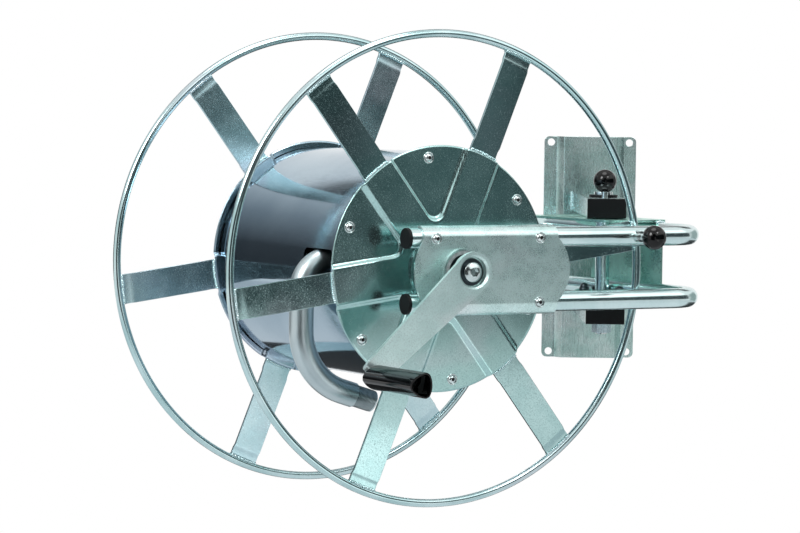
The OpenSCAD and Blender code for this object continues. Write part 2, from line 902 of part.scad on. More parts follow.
module outlet_pipe() {
    color("#8d9192") at_axle() translate([0, 0, pipe_v]) difference() {
        pipe_path(pipe_r);
        pipe_path(pipe_bore / 2, 1, 1);
        rod(boss_r + seat / 2, -big, big);
        translate(bend_2) rotate([0, 0, 180 + outlet_turn]) translate([pipe_bend_2, outlet_l - thread_l, 0])
            rotate([-90, 0, 0]) difference() {
                cylinder(r = pipe_r + 1, h = thread_l + 1);
                rod(thread_d / 2, -1, thread_l + 2);
            }
    }
}

// Crank arm: a tapered flat bar with a cup at the hub and a bent end
module tapered_link(r1, r2, length) {
    lean = asin((r1 - r2) / length);
    circle(r = r1);
    polygon([
        [r1 * sin(lean), r1 * cos(lean)], [length + r2 * sin(lean), r2 * cos(lean)],
        [length + r2 * sin(lean), -r2 * cos(lean)], [r1 * sin(lean), -r1 * cos(lean)]
    ]);
}

module crank_bend(width) {
    translate([bend_x, width / 2, bend_end]) rotate([90, 0, 0]) {
        difference() {
            cylinder(r = bend_out, h = width);
            rod(crank_bend_r, -1, width + 1);
            translate([-big, -big, -1]) cube([big, 2 * big, width + 2]);
            translate([-big, 0, -1]) cube([2 * big, big, width + 2]);
        }
        translate([-bend_lap, -bend_out, 0]) cube([bend_lap, crank_t, width]);
    }
}

module crank_arm() {
    color("#93a9a5") at_axle() rotate([0, 0, crank_angle]) difference() {
        union() {
            translate([0, 0, crank_v]) linear_extrude(crank_t) intersection() {
                tapered_link(crank_hub_r, crank_tip_r, bend_x);
                translate([-crank_l, -crank_l]) square([crank_l + bend_x, 2 * crank_l]);
            }
            rod(cup_r, cup_back, crank_v + 1);
            crank_bend(2 * crank_tip_r - 1);
            translate([crank_l - crank_t / 2, -tang_w / 2, bend_end - 0.01])
                cube([crank_t, tang_w, tang_end - bend_end]);
        }
        rod(recess_r, cup_back + cup_floor, big);
        translate([0, 0, crank_front - rim_depth])
            cylinder(r1 = recess_r, r2 = recess_r + rim_depth, h = rim_depth);
        rotate([0, 0, -crank_angle]) translate([-square_w / 2 - seat, -square_w / 2 - seat, 0])
            cube([square_w + 2 * seat, square_w + 2 * seat, big]);
    }
}

module crank_washer() {
    color("#5a5f60") at_axle() translate([0, 0, cup_back + cup_floor]) difference() {
        cylinder(r = recess_r - 1.5, h = crank_washer_t);
        rod(crank_bolt_r + seat, -1, crank_washer_t + 1);
    }
}

module crank_bolt() {
    color("silver") at_axle() translate([0, 0, cup_back + cup_floor + crank_washer_t]) difference() {
        union() {
            intersection() {
                cylinder(r = crank_head_r, h = crank_head_h);
                translate([0, 0, crank_head_h + 0.4 - crank_dome_r]) sphere(r = crank_dome_r);
            }
            rod(crank_bolt_r, -crank_bolt_l, 0);
        }
        translate([0, 0, crank_head_h / 2]) cylinder(r = crank_socket_r, h = crank_head_h, $fn = 6);
    }
}

// Grip: a three-sided sleeve that turns on the tang
module grip_outline(r, side) {
    intersection() {
        circle(r = r);
        translate([side - grip_arc_r, 0]) circle(r = grip_arc_r);
        rotate(120) translate([side - grip_arc_r, 0]) circle(r = grip_arc_r);
        rotate(240) translate([side - grip_arc_r, 0]) circle(r = grip_arc_r);
    }
}

module at_grip() {
    at_axle() translate([crank_l * cos(crank_angle), crank_l * sin(crank_angle), 0]) children();
}

module grip() {
    color("#141516") at_grip() difference() {
        translate([0, 0, grip_start]) linear_extrude(grip_l) grip_outline(grip_r, grip_side);
        translate([0, 0, grip_end - grip_mouth]) linear_extrude(big)
            grip_outline(grip_r - grip_wall, grip_side - grip_wall);
        rod(norm([tang_w, crank_t]) / 2 + run_gap, 0, big);
    }
}

module grip_clip() {
    color("silver") at_grip() translate([0, 0, grip_end - grip_mouth + 0.3]) rotate([0, 0, crank_angle])
        difference() {
            cylinder(r = grip_side - grip_wall - 0.6, h = 2);
            translate([-(crank_t + seat) / 2, -(tang_w + seat) / 2, -1])
                cube([crank_t + seat, tang_w + seat, 4]);
        }
}

// Lock pins with their ball knobs, both drawn and parked
module swivel_pin() {
    color("silver") at_arms() translate([0, -pivot_out - lock_r, 0])
        rod(pin_r, lock_tip_z, lock_knob_z - knob_r + knob_hole);
}

module ball_knob(hole_r) {
    difference() {
        sphere(r = knob_r);
        rod(hole_r, -knob_r - 1, -knob_r + knob_hole);
    }
}

module swivel_knob() {
    color("#141516") at_arms() translate([0, -pivot_out - lock_r, lock_knob_z]) ball_knob(pin_r + seat / 2);
}

module drum_pin() {
    color("silver") at_axle() translate([drum_pin_x, tube_z, 0])
        rod(pin_r, drum_pin_tip, drum_knob_v - knob_r + knob_hole);
}

module drum_knob() {
    color("#141516") at_axle() translate([drum_pin_x, tube_z, drum_knob_v]) ball_knob(pin_r + seat / 2);
}

// Rotary inlet: seal, elbow and union nut on the rear journal
module inlet_seal() {
    color("#1c1d1f") at_axle() difference() {
        rod(journal_r + run_gap / 2, groove_start + seat, groove_start + groove_w - seat);
        rod(journal_r - groove_depth + seat, -big, big);
    }
}

module inlet_elbow() {
    color("#b59a55") at_axle() difference() {
        union() {
            rod(journal_r + inlet_wall, branch_v - branch_r - 2, sleeve_start);
            translate([0, 0, branch_v]) rotate([90, 0, 0]) cylinder(r = branch_r, h = branch_l);
            translate([0, -branch_l, branch_v]) rotate([90, 0, 0])
                cylinder(r = inlet_thread_r, h = inlet_thread_l);
        }
        rod(journal_r + run_gap, journal_end - 0.5, axle_rear);
        rod(inlet_bore_r, branch_v - branch_r + 2, journal_end);
        translate([0, 0, branch_v]) rotate([90, 0, 0]) cylinder(r = inlet_bore_r - 0.5, h = big);
    }
}

module inlet_nut() {
    color("#b59a55") at_axle() difference() {
        rod(inlet_nut_r, sleeve_start - inlet_nut_grip, axle_rear - 1.5);
        rod(journal_r + inlet_wall + seat, -big, sleeve_start);
        rod(shoulder_r + 0.3, sleeve_start - seat, shoulder_back + 0.3);
        rod(journal_r + 0.3, -big, axle_rear);
    }
}

wall_plate();
upper_arm();
lower_arm();
arm_caps();
pivot_bolt();
pivot_nut();
pivot_washer();
pivot_cover_ring();
lock_pin_guide();
upper_tube();
lower_tube();
tube_plugs();
swivel_bracket();
pivot_tube();
thrust_washers();
flange_screws();
flange_nuts();
front_bearing_plate();
rear_bearing_plate();
front_bearing();
rear_bearing();
front_plate_screws();
rear_plate_screws();
drum_pin_guide();
front_ring();
rear_ring();
front_spokes();
rear_spokes();
front_disc();
rear_disc();
drum_sheet();
drum_lugs();
front_land_screws();
rear_land_screws();
axle();
front_hub();
rear_hub();
outlet_pipe();
crank_arm();
crank_washer();
crank_bolt();
grip_clip();
inlet_seal();
grip();
swivel_pin();
swivel_knob();
drum_pin();
drum_knob();
inlet_elbow();
inlet_nut();
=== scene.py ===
# %% [markdown]
# # Wall mounted hose reel
#
# The reel has two wire wheels with flat spokes, a rolled steel drum between
# them, and a frame of bent tubes that swings on a wall bracket. The packed
# CAD model already has every solid in its place. This notebook gives the
# solids the look of zinc plated, welded and pressed steel.

# %% Load the fixed frame
import json
import math

import bmesh
import bpy
from mathutils import Matrix, Vector

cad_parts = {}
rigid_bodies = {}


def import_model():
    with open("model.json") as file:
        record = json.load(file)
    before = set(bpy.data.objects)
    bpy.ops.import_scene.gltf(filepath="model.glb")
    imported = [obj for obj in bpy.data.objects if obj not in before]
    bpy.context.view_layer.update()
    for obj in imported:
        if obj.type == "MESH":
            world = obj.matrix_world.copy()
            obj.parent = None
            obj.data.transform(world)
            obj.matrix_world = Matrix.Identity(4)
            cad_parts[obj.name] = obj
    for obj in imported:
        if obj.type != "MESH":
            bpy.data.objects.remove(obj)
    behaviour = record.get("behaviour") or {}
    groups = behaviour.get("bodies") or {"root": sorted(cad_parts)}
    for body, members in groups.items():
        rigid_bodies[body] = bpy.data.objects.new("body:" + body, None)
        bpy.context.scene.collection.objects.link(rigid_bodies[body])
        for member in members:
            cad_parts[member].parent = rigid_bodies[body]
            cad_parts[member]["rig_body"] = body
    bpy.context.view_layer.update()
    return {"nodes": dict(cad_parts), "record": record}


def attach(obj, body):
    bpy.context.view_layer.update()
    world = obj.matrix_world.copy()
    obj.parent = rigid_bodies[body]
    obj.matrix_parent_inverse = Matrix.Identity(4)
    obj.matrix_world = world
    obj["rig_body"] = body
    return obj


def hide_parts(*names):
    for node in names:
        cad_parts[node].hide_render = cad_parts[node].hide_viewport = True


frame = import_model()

nodes = frame["nodes"]

# %% [markdown]
# ## The reel's own axes
#
# The frame is turned 29 degrees on the wall bracket, so nothing on the reel
# runs along the world's axes. Three directions describe it: across the
# wheel, up, and forward along the axle. Every size below is in metres.

# %% Reel axes
SWING = math.radians(29)
ACROSS = Vector((math.cos(SWING), math.sin(SWING), 0))
FORWARD = Vector((math.sin(SWING), -math.cos(SWING), 0))
UP = Vector((0, 0, 1))
PIVOT = Vector((0, -0.266, -0.004))
PIVOT_TO_AXLE = 0.337
AXLE = PIVOT - PIVOT_TO_AXLE * ACROSS


def on_reel(across, up, forward):
    """A world point from its place across, above and in front of the axle's middle."""
    return AXLE + across * ACROSS + up * UP + forward * FORWARD


print("Middle of the axle:", [round(x, 4) for x in AXLE])

# %% [markdown]
# ## Camera
#
# The camera was solved from the photograph, together with the sizes of the
# wheels, tubes and wall plate. A long lens keeps the perspective as flat as
# it is there. The three angles are a small turn, a look down and a roll.

# %% Place the camera
AZIMUTH, ELEVATION, ROLL = (math.radians(a) for a in (-0.585, 2.908, 0.752))
ORIGIN_SEEN = Vector((0.26171, -0.02717, 4.48331))
FOCAL_PIXELS, IMAGE_WIDTH, SENSOR = 3229.78, 800, 36.0


def camera_matrix():
    """World matrix of the camera from its angles and the origin's place in its view."""
    right = Vector((math.cos(AZIMUTH), math.sin(AZIMUTH), 0))
    ahead = Vector((-math.sin(AZIMUTH) * math.cos(ELEVATION),
                    math.cos(AZIMUTH) * math.cos(ELEVATION), -math.sin(ELEVATION)))
    down = ahead.cross(right)
    c, s = math.cos(ROLL), math.sin(ROLL)
    rows = Matrix((c * right - s * down, s * right + c * down, ahead))
    turned = Matrix((rows[0], -rows[1], -rows[2])).transposed().to_4x4()
    turned.translation = -(rows.transposed() @ ORIGIN_SEEN)
    return turned


lens = bpy.data.cameras.new("photo_camera")
lens.sensor_width = SENSOR
lens.lens = FOCAL_PIXELS * SENSOR / IMAGE_WIDTH
lens.clip_end = 50
camera = bpy.data.objects.new("photo_camera", lens)
camera.matrix_world = camera_matrix()
bpy.context.collection.objects.link(camera)
bpy.context.scene.camera = camera
bpy.context.scene.view_settings.view_transform = "Standard"
print("Camera at", [round(x, 3) for x in camera.location], "lens", round(lens.lens, 1), "mm")

# %% [markdown]
# ## A small language for shader maths
#
# Shader trees are easier to read as sums and products than as wires. Value
# wraps one output socket, so `0.2 + grain * 0.1` adds its own Math nodes.


# %% Value
class Value:
    """One output socket that can be added, subtracted, multiplied and divided."""

    def __init__(self, net, socket):
        self.net, self.socket = net, socket

    def maths(self, operation, *terms):
        return self.net.node("Math", {"operation": operation}, dict(enumerate(terms)))

    def __add__(self, other):
        return self.maths("ADD", self, other)

    def __sub__(self, other):
        return self.maths("SUBTRACT", self, other)

    def __mul__(self, other):
        return self.maths("MULTIPLY", self, other)

    def __truediv__(self, other):
        return self.maths("DIVIDE", self, other)

    def __rsub__(self, other):
        return self.maths("SUBTRACT", other, self)

    __radd__ = __add__

    def clamp(self, low, high):
        """0 below low, 1 above high, and a soft step between them."""
        return self.net.node("MapRange", {"interpolation_type": "SMOOTHSTEP"},
                             {"Value": self, "From Min": low, "From Max": high})


print("Signs that Value knows: + - * /")

# %% [markdown]
# ## One way to make every node
#
# Net holds one node tree. Its node method takes a kind of node, then the
# node's settings, then what goes into its sockets: a Value is linked, and
# anything else is set. A list links several Values into one socket. The
# textures and mixes that many finishes share have methods of their own.


# %% Net
class Net:
    """A node tree with one way to make every kind of node."""

    def __init__(self, tree, family="ShaderNode"):
        self.tree, self.family = tree, family
        tree.nodes.clear()

    def node(self, kind, settings=None, sockets=None, output=0):
        made = self.tree.nodes.new(self.family + kind)
        for name, setting in (settings or {}).items():
            if name == "stops":
                self.fill_ramp(made.color_ramp, setting)
            else:
                setattr(made, name, setting)
        for name, given in (sockets or {}).items():
            for one in given if isinstance(given, list) else [given]:
                if isinstance(one, Value):
                    self.tree.links.new(one.socket, made.inputs[name])
                else:
                    made.inputs[name].default_value = one
        return Value(self, made.outputs[output]) if made.outputs else made

    def fill_ramp(self, ramp, stops):
        """Give a colour ramp its stops, each a place and a colour."""
        while len(ramp.elements) < len(stops):
            ramp.elements.new(1)
        for stop, (place, colour) in zip(ramp.elements, stops):
            stop.position, stop.color = place, (*colour, 1)

    def place(self, scale=(1, 1, 1), turn=0.0):
        """Object coordinates, turned about the vertical and stretched."""
        seen = self.node("TexCoord", output="Object")
        return self.node("Mapping", {"vector_type": "POINT"},
                         {"Vector": seen, "Rotation": (0, 0, turn), "Scale": scale})

    def noise(self, where, scale, detail=3.0, rough=0.5):
        return self.node("TexNoise", {"noise_dimensions": "3D"},
                         {"Vector": where, "Scale": scale, "Detail": detail, "Roughness": rough})

    def blend(self, factor, first, second):
        """A colour between two colours."""
        return self.node("Mix", {"data_type": "RGBA"}, {0: factor, 6: first, 7: second}, 2)

    def bump(self, height, distance):
        return self.node("Bump", None, {"Height": height, "Distance": distance, "Strength": 1.0})


print("Net can make:", [name for name in vars(Net) if not name.startswith("__")])

# %% [markdown]
# ## Materials and colours
#
# Every finish on the reel is a Principled shader, which covers metal, plastic
# and paint alike. Colours are written on the photograph's own scale, because
# there they can be compared, and turned into linear light for the
# shader.


# %% Materials and colours
def material(name, **fixed):
    """A new material with a Principled shader: its net, and a way to finish it."""
    made = bpy.data.materials.new(name)
    made.use_nodes = True
    net = Net(made.node_tree)

    def finish(**sockets):
        given = {key.replace("_", " "): value for key, value in {**fixed, **sockets}.items()}
        shader = net.node("BsdfPrincipled", None, given)
        net.node("OutputMaterial", None, {"Surface": shader})
        return made

    return net, finish


def rgb(red, green, blue):
    """A colour from the photograph's 0 to 255 scale."""
    return tuple(((c / 255 + 0.055) / 1.055) ** 2.4 for c in (red, green, blue)) + (1.0,)


def times(colour, red, green, blue):
    """A colour with its three channels made stronger or weaker."""
    return tuple(c * factor for c, factor in zip(colour, (red, green, blue, 1.0)))


print("Middle grey is", [round(c, 3) for c in rgb(128, 128, 128)])

# %% [markdown]
# ## Zinc plated steel
#
# Nearly all of the reel is zinc plated. Thin passivation on zinc gives a
# blue-green tint that drifts in clouds, here and there towards pink. Small
# dull spots lie on it where the crystals of the zinc scatter light, and the
# grain of the rolled sheet blurs its reflections. So the tint comes from two
# wide noises, the spots from a fine one, and the grain from the finest two.

# %% A maker of zinc finishes
WARM, DULL = (1.18, 0.92, 0.98), (0.72, 0.72, 0.72)
WARM_SHARE, MATT_SHARE, SPECK_BLUR, CLOUD_BLUR = 0.55, 0.3, 0.25, 0.04
SPECK_SCALE, FINE_SCALE, MOTTLE_SCALE = 700, 2400, 560
CLOUD_STEP, DRIFT_STEP = (0.35, 0.65), (0.52, 0.7)
STAIN_STEP, MATT_STEP, BLUR_STEP = (0.46, 0.62), (0.52, 0.68), (0.5, 0.66)


def zinc(name, light, dark, rough, cloud_size, grain, spotted=0.4, turn=SWING, stretch=(1, 1, 1), metal=1.0):
    """Plated steel: a cloudy tint with dull spots, over the grain of the steel."""
    net, finish = material(name)
    clouds = net.noise(net.place(), 1 / cloud_size, detail=4, rough=0.6).clamp(*CLOUD_STEP)
    drift = net.noise(net.place((0.6, 0.6, 1)), 0.45 / cloud_size, detail=2).clamp(*DRIFT_STEP)
    rolled = net.place(stretch, turn)
    speck = net.noise(rolled, SPECK_SCALE, detail=3, rough=0.7)
    fine = net.noise(rolled, FINE_SCALE, detail=1)
    mottle = net.noise(rolled, MOTTLE_SCALE, detail=4, rough=0.8)
    tint = net.blend(clouds, rgb(*dark), rgb(*light))
    tint = net.blend(drift * WARM_SHARE, tint, times(rgb(*light), *WARM))
    tint = net.blend(mottle.clamp(*STAIN_STEP) * spotted, tint, times(rgb(*dark), *DULL))
    metal = metal - mottle.clamp(*MATT_STEP) * spotted * MATT_SHARE if spotted else metal
    blur = rough + (speck - 0.5) * spotted * SPECK_BLUR + (clouds - 0.5) * CLOUD_BLUR
    blur = blur + mottle.clamp(*BLUR_STEP) * spotted * MATT_SHARE
    height = speck * 0.8 + fine * 0.2
    return finish(**{"Base Color": tint, "Metallic": metal, "Roughness": blur,
                     "Normal": net.bump(height, grain)})


print("Finest grain:", round(1000 / FINE_SCALE, 2), "mm")

# %% [markdown]
# ## Each kind of zinc on the reel
#
# The same plating looks different on each part. Flat sheet keeps its spots,
# drawn rod has none, the bearing plates and the crank are nearly matt, and
# the wall plate shows upright streaks. Each row says how one of them looks.

# %% The zinc finishes
UNTURNED, EVEN = 0.0, (1, 1, 1)
# Light and dark tint, roughness, size of the clouds, depth of the grain, share of spots,
# turn and stretch of the grain, and how much of it is metal.
ZINC_LOOKS = {
    "zinc_sheet": ((178, 209, 209), (166, 199, 199), 0.12, 0.03, 6e-6, 0.55),
    "zinc_bright": ((216, 234, 234), (196, 220, 220), 0.18, 0.09, 1e-6, 0.1, SWING, (1, 1, 0.2)),
    "zinc_rod": ((198, 219, 221), (168, 197, 199), 0.16, 0.09, 3e-7, 0.0),
    "zinc_pressed": ((174, 208, 206), (160, 196, 194), 0.18, 0.04, 3e-6),
    "zinc_soft": ((196, 221, 226), (180, 208, 214), 0.22, 0.03, 1e-6, 0.25),
    # The next finish is darker and bluer than the rest: a painted reflection of the blue drum, worn by the
    # rear disc.
    "zinc_blue_painted_reflection": ((168, 188, 198), (142, 166, 180), 0.12, 0.05, 2e-6),
    # The next finish is lighter and greener than the rest: the green is the bracket's own tint, and the extra
    # lightness is painted light that lifts the shade in its channel.
    "zinc_mint_painted_light": ((176, 228, 214), (156, 208, 195), 0.28, 0.04, 4e-6),
    "zinc_satin": ((214, 238, 235), (200, 226, 223), 0.34, 0.03, 6e-6, 0.6, SWING, EVEN, 0.8),
    "zinc_plate": ((214, 238, 235), (198, 224, 221), 0.28, 0.03, 6e-6, 0.6, SWING, EVEN, 0.85),
    "zinc_streaked": ((196, 217, 215), (166, 196, 192), 0.24, 0.03, 6e-6, 0.5, UNTURNED, (1, 1, 0.12)),
}
finishes = {name: zinc(name, *look) for name, look in ZINC_LOOKS.items()}
print("Zinc finishes:", ", ".join(finishes))

# %% [markdown]
# ## Drum, pipe and metal fittings
#
# The drum is bright rolled sheet, bluer and smoother than the plates. The
# outlet pipe is plain stainless tube, which has a neutral satin grey, and
# the inlet is brass. All of them show fine lines from rolling or turning, so
# one stretched noise blurs and bumps them, and a wide one varies the tint.

# %% Bare metal
EVEN_STEP, LINE_BLUR = (0.3, 0.7), 0.18


def steel(name, light, dark, rough, streak, grain=1e-5):
    """Bare or bright metal with fine lines along the rolling direction."""
    net, finish = material(name, Metallic=1.0)
    lines = net.noise(net.place(streak, SWING), scale=60, detail=5, rough=0.7)
    clouds = net.noise(net.place(), scale=9)
    tint = net.blend(clouds.clamp(*EVEN_STEP), rgb(*dark), rgb(*light))
    return finish(**{"Base Color": tint, "Roughness": rough + (lines - 0.5) * LINE_BLUR,
                     "Normal": net.bump(lines, grain)})


# Light and dark tint, roughness, stretch of the lines, depth of the grain.
METAL_LOOKS = {
    "drum_steel": ((170, 189, 201), (152, 173, 187), 0.1, (1, 1, 12), 3e-6),
    "stainless": ((188, 201, 204), (164, 178, 182), 0.33, (9, 1, 1), 2e-5),
    "fastener_steel": ((214, 222, 222), (196, 208, 208), 0.2, (3, 3, 3)),
    "dark_steel": ((84, 92, 95), (66, 74, 78), 0.34, (2, 2, 2)),
    "brass": ((214, 186, 124), (196, 164, 100), 0.24, (3, 3, 3)),
}
finishes.update({name: steel(name, *look) for name, look in METAL_LOOKS.items()})
print("Bare metals:", ", ".join(METAL_LOOKS))

# %% [markdown]
# ## Plastic and rubber
#
# The caps and plugs are matt plastic, and the ball knobs and the grip are
# glossy. Moulded plastic is even in colour but never quite even in sheen, so
# one fine noise darkens it a little, blurs it and gives it a faint relief.

# %% Plastic and rubber
SHEEN, IN_SHADE = 0.12, (0.6, 0.6, 0.6)


def plastic(name, colour, rough, speck_size, bump, shine=0.4):
    """Moulded plastic with a faint uneven sheen."""
    net, finish = material(name, Metallic=0.0, Specular_IOR_Level=shine)
    speck = net.noise(net.place(), 1 / speck_size)
    shade = times(rgb(*colour), *IN_SHADE)
    return finish(**{"Base Color": net.blend(speck.clamp(*EVEN_STEP), shade, rgb(*colour)),
                     "Roughness": rough + (speck - 0.5) * SHEEN, "Normal": net.bump(speck, bump)})


# Colour, roughness, size of the specks, their depth, and how strongly it shines.
PLASTIC_LOOKS = {
    "black_plastic": ((20, 21, 23), 0.5, 0.0012, 3e-5, 0.16),
    "gloss_black": ((6, 6, 7), 0.06, 0.02, 1e-5, 0.3),
    "bush_plastic": ((196, 204, 203), 0.3, 0.004, 1e-5),
    "seal_rubber": ((24, 24, 24), 0.6, 0.002, 3e-5),
}
finishes.update({name: plastic(name, *look) for name, look in PLASTIC_LOOKS.items()})
print("Finishes:", ", ".join(sorted(finishes)))

# %% [markdown]
# ## Who wears which finish
#
# The CAD record gives every node a material slot, such as zinc_sheet or
# brass, and each slot has a finish of the same name. Some pieces share a
# slot but look different in the photograph, so they get a finish of their
# own and keep the slot.

# %% Dress the CAD solids
OWN_FINISH = {"front_bearing_plate": "zinc_plate", "rear_bearing_plate": "zinc_plate",
              "front_ring": "zinc_rod", "rear_ring": "zinc_rod", "front_disc": "zinc_pressed",
              # The pivot nut wears a duller zinc than its slot: painted shade under the lower cap.
              # The rear disc's bluer zinc is a painted reflection of the drum.
              "rear_disc": "zinc_blue_painted_reflection", "rear_spokes": "zinc_soft", "pivot_nut": "zinc_soft",
              # The swivel bracket's lighter zinc is partly painted light in its shaded channel.
              "crank_arm": "zinc_satin", "wall_plate": "zinc_streaked", "swivel_bracket": "zinc_mint_painted_light"}
slot_of = {row["node"]: row["material_slot"] for row in frame["record"]["subparts"]}
worn = {name: finishes[OWN_FINISH.get(name, slot_of[name])] for name in nodes}
for name, solid in nodes.items():
    solid.data.materials.clear()
    solid.data.materials.append(worn[name])
print("Pieces with a finish of their own:", sorted(OWN_FINISH))

# %% [markdown]
# ## Plain meshes and smooth shading
#
# Modifiers and Geometry Nodes describe a shape that Blender works out. The
# reel is kept as plain meshes, so that result is copied into a new
# mesh each time. Smooth shading then hides the facets of round parts, and
# stops at every edge that turns by more than a given angle.

# %% Helpers for meshes
SHARP_TURN = 32


def to_mesh(source, name):
    """The evaluated shape of an object as a new plain mesh object."""
    ready = source.evaluated_get(bpy.context.evaluated_depsgraph_get())
    mesh = bpy.data.meshes.new_from_object(ready)
    bpy.data.objects.remove(source)
    mesh.name = name
    made = bpy.data.objects.new(name, mesh)
    bpy.context.collection.objects.link(made)
    return made


def smooth(mesh, angle=SHARP_TURN):
    """Smooth shading, with sharp lines where the surface turns by more than the angle."""
    mesh.shade_smooth()
    mesh.set_sharp_from_angle(angle=math.radians(angle))


print("Edges stay sharp above", SHARP_TURN, "degrees")

# %% [markdown]
# ## Rounded edges on every solid
#
# A CAD solid has knife edges, and real sheet, nuts and castings don't: each
# edge catches a thin line of light. A copy of each solid is merged into one
# closed mesh, gets a small bevel along its sharp edges, and is shaded smooth
# between them. The copy then stands for the solid.

# %% Finish the CAD solids
SAME_POINT, SAME_PLANE = 2e-6, math.radians(0.4)


def finished(node, width):
    """A copy of a CAD node with rounded edges stands for it, riding on the same body."""
    mesh = nodes[node].data.copy()
    shape = bmesh.new()
    shape.from_mesh(mesh)
    bmesh.ops.remove_doubles(shape, verts=shape.verts, dist=SAME_POINT)
    bmesh.ops.dissolve_limit(shape, angle_limit=SAME_PLANE, verts=shape.verts, edges=shape.edges)
    shape.to_mesh(mesh)
    shape.free()
    rough = bpy.data.objects.new(node + "_rough", mesh)
    bpy.context.collection.objects.link(rough)
    bevel = rough.modifiers.new("edges", "BEVEL")
    bevel.limit_method, bevel.angle_limit = "ANGLE", math.radians(SHARP_TURN)
    bevel.width, bevel.segments = width, 2
    rounded = to_mesh(rough, node + "_rounded")
    smooth(rounded.data)
    rounded.modifiers.new("flat_faces_stay_flat", "WEIGHTED_NORMAL").keep_sharp = True
    piece = to_mesh(rounded, node + "_finished")
    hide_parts(node)
    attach(piece, nodes[node]["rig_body"])


SMALL_EDGE = 0.0003
EDGES = {"wall_plate": 0.0008, "upper_arm": 0.0008, "lower_arm": 0.0008, "arm_caps": 0.001,
         "swivel_bracket": 0.0006, "front_bearing_plate": 0.0005, "rear_bearing_plate": 0.0005,
         "front_spokes": 0.0006, "rear_spokes": 0.0006, "crank_arm": 0.0006, "grip": 0.0008}
MADE_SMOOTH = ("front_ring", "rear_ring", "front_disc", "rear_disc")
for name in sorted(set(nodes) - set(MADE_SMOOTH)):
    finished(name, EDGES.get(name, SMALL_EDGE))
print("Finished solids:", len(nodes) - len(MADE_SMOOTH))

# %% [markdown]
# ## A skin over a grid of points
#
# The rings and the pressed discs are round all over, so a bevel has nothing
# to hold on to. Both can be drawn as a grid of points that closes on itself
# in two directions: a ring is a circle carried round a circle, and a disc is
# its own cross section carried round the axle. One helper turns such a grid
# into a closed mesh that stands for the CAD solid.


# %% Skin of a closed grid
def skin(node, rows, sharp):
    """A closed smooth piece over a loop of rows, each row a loop of points on the reel."""
    count, width = len(rows), len(rows[0])
    mesh = bpy.data.meshes.new(node + "_smooth")
    faces = [[row * width + column, row * width + (column + 1) % width,
              (row + 1) % count * width + (column + 1) % width, (row + 1) % count * width + column]
             for row in range(count) for column in range(width)]
    mesh.from_pydata([on_reel(*point) for row in rows for point in row], [], faces)
    shape = bmesh.new()
    shape.from_mesh(mesh)
    bmesh.ops.recalc_face_normals(shape, faces=shape.faces)
    shape.to_mesh(mesh)
    shape.free()
    smooth(mesh, sharp)
    mesh.materials.append(worn[node])
    piece = bpy.data.objects.new(node + "_smooth", mesh)
    bpy.context.collection.objects.link(piece)
    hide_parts(node)
    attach(piece, nodes[node]["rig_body"])
    return len(faces)


def full_turn(steps):
    """Evenly spaced angles once round."""
    return [2 * math.pi * k / steps for k in range(steps)]


print("A full turn in four steps:", [round(angle, 2) for angle in full_turn(4)])

# %% [markdown]
# ## Wire rings
#
# Each wheel ends in a ring bent from 10 mm rod. With 288 steps round the
# wheel, its outline stays round even where it is seen against the white.

# %% Cross section of a ring
WHEELS = {"front": 0.158, "rear": -0.158}
SPOKE_ANGLES = [math.radians(7.8 + 60 * k) for k in range(6)]
RING_RADIUS, ROD_RADIUS = 0.285, 0.005
RING_STEPS, ROD_STEPS, RING_SHARP = 288, 20, 40


def ring_row(angle, forward):
    """The rod's circle at one angle of the ring."""
    return [((RING_RADIUS + ROD_RADIUS * math.cos(t)) * math.cos(angle),
             (RING_RADIUS + ROD_RADIUS * math.cos(t)) * math.sin(angle),
             forward + ROD_RADIUS * math.sin(t)) for t in full_turn(ROD_STEPS)]


print("Points round the rod:", len(ring_row(0.0, 0.0)))

# %% [markdown]
# ## Pressed discs
#
# The press leaves six sunk lands between the ribs, with soft bends that hold
# a long highlight. The height of the sheet is a plain function of the place:
# it asks how far a point lies outside the nearest land, and rises over a
# short slope. That gives smoother bends than any bevel of the CAD solid.

# %% Cross section of a disc
DISC_RADIUS, DISC_BORE, SHEET, EDGE_ROUND = 0.15, 0.0202, 0.002, 0.0006
LAND_TIP, LAND_MARGIN, SLOPE, PRESS_DEPTH = 0.074, 0.0095, 0.006, 0.004
DISC_STEPS, PROFILE_STEPS, DISC_SHARP = 480, 58, 50
SIXTH, TWELFTH = math.radians(60), math.radians(30)


def pressed_height(radius, angle):
    """Front face of a disc: 0 on a land, the press depth on the ribs and the middle."""
    turn = (angle - SPOKE_ANGLES[0]) % SIXTH - TWELFTH
    along, aside = radius * math.cos(turn), radius * math.sin(abs(turn))
    past_tip = (along - LAND_TIP) * math.cos(TWELFTH) + aside * 0.5
    if past_tip > 0:
        away = max(0.0, LAND_TIP * 0.5 - along * 0.5 + aside * math.cos(TWELFTH))
    else:
        away = math.hypot(along - LAND_TIP, aside)
    step = min(1.0, max(0.0, (away - LAND_MARGIN) / SLOPE))
    return PRESS_DEPTH * step * step * (3 - 2 * step)


def disc_row(angle, forward):
    """The disc's cross section at one angle: out along the front, back along the rear."""
    reach = DISC_RADIUS - EDGE_ROUND - DISC_BORE
    radii = [DISC_BORE + reach * k / PROFILE_STEPS for k in range(PROFILE_STEPS + 1)]
    front = [(r, pressed_height(r, angle)) for r in radii]
    rim = front[-1][1]
    edge = [(DISC_RADIUS, rim - EDGE_ROUND), (DISC_RADIUS, rim - SHEET + EDGE_ROUND)]
    back = [(r, h - SHEET) for r, h in reversed(front)]
    return [(r * math.cos(angle), r * math.sin(angle), forward + h) for r, h in front + edge + back]


print("Points in a disc's cross section:", len(disc_row(0.0, 0.0)))

# %% [markdown]
# ## Both wheels
#
# The front and the rear wheel differ only in their place on the axle, so one
# loop makes the ring and the disc of each.

